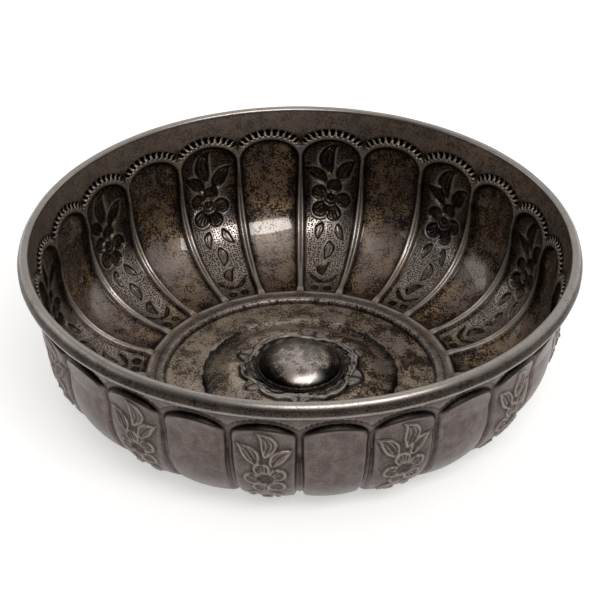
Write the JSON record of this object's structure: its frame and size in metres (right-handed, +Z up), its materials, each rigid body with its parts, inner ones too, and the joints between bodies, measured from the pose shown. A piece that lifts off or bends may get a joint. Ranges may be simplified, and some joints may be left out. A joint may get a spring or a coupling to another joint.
{
  "type": "tas hammam bowl",
  "caption": "Shallow round bathing bowl of plated sheet metal: lobed wall with arched panels, thick rounded rim, flat floor with a domed boss inside a petal collar.",
  "frame": {"origin": "centre of the flat ring of the underside that the bowl rests on", "axes": "+Z up through the mouth, +X through the middle of a decorated panel, +Y the same a quarter turn on"},
  "size_m": [0.19, 0.19, 0.056],
  "materials": {
    "wall": "worn silver plate over copper, dark in the hollows",
    "rim": "worn silver plate, rubbed bright on top",
    "wire": "plain iron wire",
    "floor": "worn silver plate, mottled",
    "trim": "worn silver plate, chased",
    "boss": "worn silver plate, polished"
  },
  "bodies": {
    "root": {"bowl_wall": "wall", "rim_bead": "rim", "rim_wire": "wire", "floor_plate": "floor", "floor_bead": "trim", "rosette": "trim", "boss_ring": "trim", "boss": "boss"}
  },
  "joints": []
}
